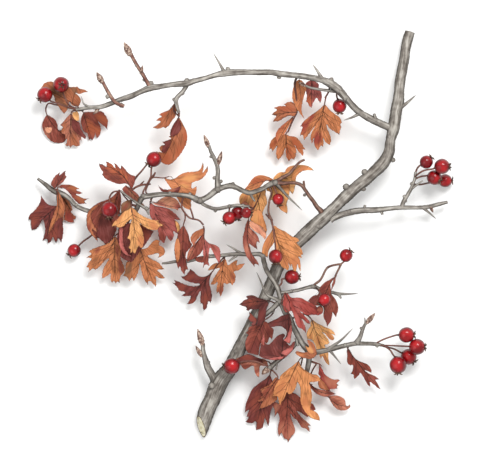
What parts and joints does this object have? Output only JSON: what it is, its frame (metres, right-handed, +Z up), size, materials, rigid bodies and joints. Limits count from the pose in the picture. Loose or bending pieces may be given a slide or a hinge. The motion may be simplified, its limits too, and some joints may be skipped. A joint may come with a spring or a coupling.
{
  "type": "hawthorn branch",
  "caption": "Cut hawthorn branch in autumn, lying down: bent grey stem with thorny boughs, red haws on stalks and lobed leaves in reds and oranges.",
  "frame": {"origin": "middle of the branch's bounding box, on the ground it lies on", "axes": "+X from the leaf tips on the left to the haws on the right, +Y from the sawn end towards the top, +Z up from the ground"},
  "size_m": [0.2779, 0.2693, 0.034],
  "materials": {
    "bark": "matte grey bark with fine ridges",
    "haw_skin": "glossy crimson fruit skin",
    "foliage": "dry autumn leaf, matte"
  },
  "bodies": {
    "root": {"main_stem": "bark", "upper_bough_inner": "bark", "upper_bough_outer": "bark", "twig_budded": "bark", "right_bough": "bark", "middle_bough_inner": "bark", "middle_bough_outer": "bark", "left_bough": "bark", "middle_bough_lower": "bark", "twig_tall": "bark", "lower_bough": "bark", "lower_bough_left": "bark", "twig_thorned": "bark", "lower_right_bough": "bark", "twig_curled": "bark", "haw_01": "haw_skin", "haw_02": "haw_skin", "haw_03": "haw_skin", "haw_04": "haw_skin", "haw_05": "haw_skin", "haw_06": "haw_skin", "haw_07": "haw_skin", "haw_08": "haw_skin", "haw_09": "haw_skin", "haw_10": "haw_skin", "haw_11": "haw_skin", "haw_12": "haw_skin", "haw_13": "haw_skin", "haw_14": "haw_skin", "haw_15": "haw_skin", "haw_16": "haw_skin", "haw_17": "haw_skin", "haw_18": "haw_skin", "haw_19": "haw_skin", "haw_20": "haw_skin", "haw_21": "haw_skin", "haw_22": "haw_skin", "haw_23": "haw_skin", "leaves_tip": "foliage", "leaves_spur": "foliage", "leaves_upper_right": "foliage", "leaf_broad": "foliage", "leaves_left": "foliage", "leaves_centre_left": "foliage", "leaves_centre": "foliage", "leaves_hanging": "foliage", "leaves_lower_left": "foliage", "leaves_fork": "foliage", "leaves_drooping": "foliage", "leaves_junction": "foliage", "leaves_over": "foliage", "leaf_folded": "foliage", "leaves_curled": "foliage", "leaf_dark": "foliage", "leaf_yellow": "foliage", "leaf_orange": "foliage", "leaves_bottom": "foliage", "leaves_salmon": "foliage", "leaf_right": "foliage"}
  },
  "joints": []
}
